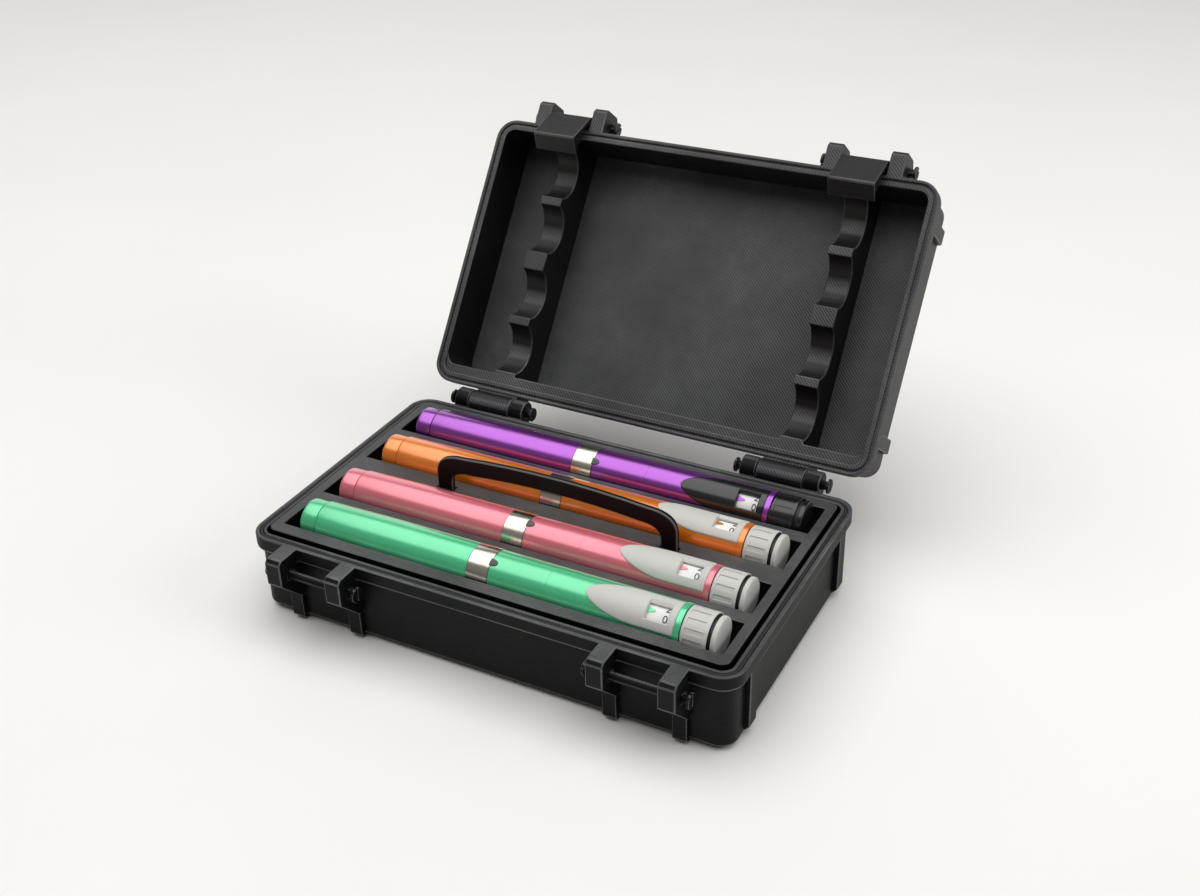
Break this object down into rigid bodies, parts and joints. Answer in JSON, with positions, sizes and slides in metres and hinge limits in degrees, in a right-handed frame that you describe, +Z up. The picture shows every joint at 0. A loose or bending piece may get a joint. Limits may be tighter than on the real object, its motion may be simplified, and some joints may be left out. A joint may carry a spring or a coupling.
{
  "type": "insulin cooling case",
  "caption": "Hinged hard case with swing latches that keeps injection pens in a lift-out handled tray above a cool pack; pens have turning dials and press buttons.",
  "frame": {"origin": "centre of the base's underside", "axes": "+X along the pens towards their dials, +Y towards the hinges, +Z up"},
  "size_m": [0.1848, 0.2126, 0.1311],
  "materials": {
    "printed_black": "matte, fine layer lines",
    "seal": "matte",
    "handle": "matte",
    "green_metal": "satin anodised",
    "pink_metal": "satin anodised",
    "orange_metal": "satin anodised",
    "purple_metal": "satin anodised",
    "ring_metal": "satin",
    "grey_plastic": "satin",
    "black_plastic": "satin",
    "white_plastic": "satin",
    "cartridge_glass": "clear",
    "pack_plastic": "gloss"
  },
  "bodies": {
    "base": {"base_shell": "printed_black", "base_seal": "seal", "hinge_pin_left": "printed_black", "hinge_pin_right": "printed_black", "catch_pin_left": "printed_black", "catch_pin_right": "printed_black", "cool_pack": "pack_plastic", "cool_pack_plug": "pack_plastic"},
    "lid": {"lid_shell": "printed_black"},
    "latch_pin_left": {"latch_pin_left": "printed_black"},
    "latch_pin_right": {"latch_pin_right": "printed_black"},
    "latch_lever_left": {"latch_lever_left": "printed_black"},
    "latch_lever_right": {"latch_lever_right": "printed_black"},
    "tray": {"pen_tray": "printed_black", "tray_handle": "handle"},
    "green_pen": {"green_cap": "green_metal", "green_cap_ring": "ring_metal", "green_barrel": "green_metal", "green_scale_cover": "grey_plastic", "green_cartridge": "cartridge_glass", "green_piston_rod": "black_plastic"},
    "green_sleeve": {"green_sleeve": "black_plastic"},
    "green_dial": {"green_dial": "grey_plastic", "green_dose_drum": "white_plastic"},
    "green_button": {"green_button": "grey_plastic"},
    "pink_pen": {"pink_cap": "pink_metal", "pink_cap_ring": "ring_metal", "pink_barrel": "pink_metal", "pink_scale_cover": "grey_plastic", "pink_cartridge": "cartridge_glass", "pink_piston_rod": "black_plastic"},
    "pink_sleeve": {"pink_sleeve": "black_plastic"},
    "pink_dial": {"pink_dial": "grey_plastic", "pink_dose_drum": "white_plastic"},
    "pink_button": {"pink_button": "grey_plastic"},
    "orange_pen": {"orange_cap": "orange_metal", "orange_cap_ring": "ring_metal", "orange_barrel": "orange_metal", "orange_scale_cover": "grey_plastic", "orange_cartridge": "cartridge_glass", "orange_piston_rod": "black_plastic"},
    "orange_sleeve": {"orange_sleeve": "black_plastic"},
    "orange_dial": {"orange_dial": "grey_plastic", "orange_dose_drum": "white_plastic"},
    "orange_button": {"orange_button": "grey_plastic"},
    "purple_pen": {"purple_cap": "purple_metal", "purple_cap_ring": "ring_metal", "purple_barrel": "purple_metal", "purple_scale_cover": "black_plastic", "purple_cartridge": "cartridge_glass", "purple_piston_rod": "black_plastic"},
    "purple_sleeve": {"purple_sleeve": "black_plastic"},
    "purple_dial": {"purple_dial": "black_plastic", "purple_dose_drum": "white_plastic"},
    "purple_button": {"purple_button": "black_plastic"}
  },
  "joints": [
    {"name": "lid_hinge", "type": "hinge", "parent": "base", "child": "lid", "pos_m": [0, 0.06045, 0.03127], "axis": [-1, 0, 0], "range_deg": [-126.4, 0]},
    {"name": "latch_pin_left_turn", "type": "hinge", "parent": "lid", "child": "latch_pin_left", "pos_m": [0, 0.13804, 0.12278], "axis": [-1, 0, 0], "range_deg": [0, 63.1]},
    {"name": "latch_lever_left_swing", "type": "hinge", "parent": "latch_pin_left", "child": "latch_lever_left", "pos_m": [0, 0.13804, 0.12278], "axis": [-1, 0, 0], "range_deg": [-13.5, 100]},
    {"name": "latch_pin_right_turn", "type": "hinge", "parent": "lid", "child": "latch_pin_right", "pos_m": [0, 0.13804, 0.12278], "axis": [-1, 0, 0], "range_deg": [0, 63.1]},
    {"name": "latch_lever_right_swing", "type": "hinge", "parent": "latch_pin_right", "child": "latch_lever_right", "pos_m": [0, 0.13804, 0.12278], "axis": [-1, 0, 0], "range_deg": [-13.5, 100]},
    {"name": "tray_lift", "type": "slide", "parent": "base", "child": "tray", "axis": [0, 0, 1], "range_m": [0, 0.04]},
    {"name": "green_pen_lift", "type": "slide", "parent": "tray", "child": "green_pen", "axis": [0, 0, 1], "range_m": [0, 0.03]},
    {"name": "green_sleeve_wind", "type": "slide", "parent": "green_pen", "child": "green_sleeve", "axis": [1, 0, 0], "range_m": [0, 0.003]},
    {"name": "green_dial_turn", "type": "hinge", "parent": "green_sleeve", "child": "green_dial", "pos_m": [0, -0.03633, 0.03062], "axis": [1, 0, 0], "range_deg": [0, 180.2]},
    {"name": "green_button_press", "type": "slide", "parent": "green_sleeve", "child": "green_button", "axis": [1, 0, 0], "range_m": [-0.0018, 0], "stiffness_N_per_m": 400},
    {"name": "pink_pen_lift", "type": "slide", "parent": "tray", "child": "pink_pen", "axis": [0, 0, 1], "range_m": [0, 0.03]},
    {"name": "pink_sleeve_wind", "type": "slide", "parent": "pink_pen", "child": "pink_sleeve", "axis": [1, 0, 0], "range_m": [0, 0.003]},
    {"name": "pink_dial_turn", "type": "hinge", "parent": "pink_sleeve", "child": "pink_dial", "pos_m": [0, -0.01348, 0.03062], "axis": [1, 0, 0], "range_deg": [0, 180.2]},
    {"name": "pink_button_press", "type": "slide", "parent": "pink_sleeve", "child": "pink_button", "axis": [1, 0, 0], "range_m": [-0.0018, 0], "stiffness_N_per_m": 400},
    {"name": "orange_pen_lift", "type": "slide", "parent": "tray", "child": "orange_pen", "axis": [0, 0, 1], "range_m": [0, 0.03]},
    {"name": "orange_sleeve_wind", "type": "slide", "parent": "orange_pen", "child": "orange_sleeve", "axis": [1, 0, 0], "range_m": [0, 0.003]},
    {"name": "orange_dial_turn", "type": "hinge", "parent": "orange_sleeve", "child": "orange_dial", "pos_m": [0, 0.01348, 0.03062], "axis": [1, 0, 0], "range_deg": [0, 180.2]},
    {"name": "orange_button_press", "type": "slide", "parent": "orange_sleeve", "child": "orange_button", "axis": [1, 0, 0], "range_m": [-0.0018, 0], "stiffness_N_per_m": 400},
    {"name": "purple_pen_lift", "type": "slide", "parent": "tray", "child": "purple_pen", "axis": [0, 0, 1], "range_m": [0, 0.03]},
    {"name": "purple_sleeve_wind", "type": "slide", "parent": "purple_pen", "child": "purple_sleeve", "axis": [1, 0, 0], "range_m": [0, 0.003]},
    {"name": "purple_dial_turn", "type": "hinge", "parent": "purple_sleeve", "child": "purple_dial", "pos_m": [0, 0.03633, 0.03062], "axis": [1, 0, 0], "range_deg": [0, 180.2]},
    {"name": "purple_button_press", "type": "slide", "parent": "purple_sleeve", "child": "purple_button", "axis": [1, 0, 0], "range_m": [-0.0018, 0], "stiffness_N_per_m": 400}
  ],
  "couplings": [
    {"joint": "latch_pin_left_turn", "follows": "lid_hinge", "ratio": -0.49842},
    {"joint": "latch_pin_right_turn", "follows": "lid_hinge", "ratio": -0.49842},
    {"joint": "green_dial_turn", "follows": "green_sleeve_wind", "rad_per_m": 1047.2},
    {"joint": "pink_dial_turn", "follows": "pink_sleeve_wind", "rad_per_m": 1047.2},
    {"joint": "orange_dial_turn", "follows": "orange_sleeve_wind", "rad_per_m": 1047.2},
    {"joint": "purple_dial_turn", "follows": "purple_sleeve_wind", "rad_per_m": 1047.2}
  ]
}
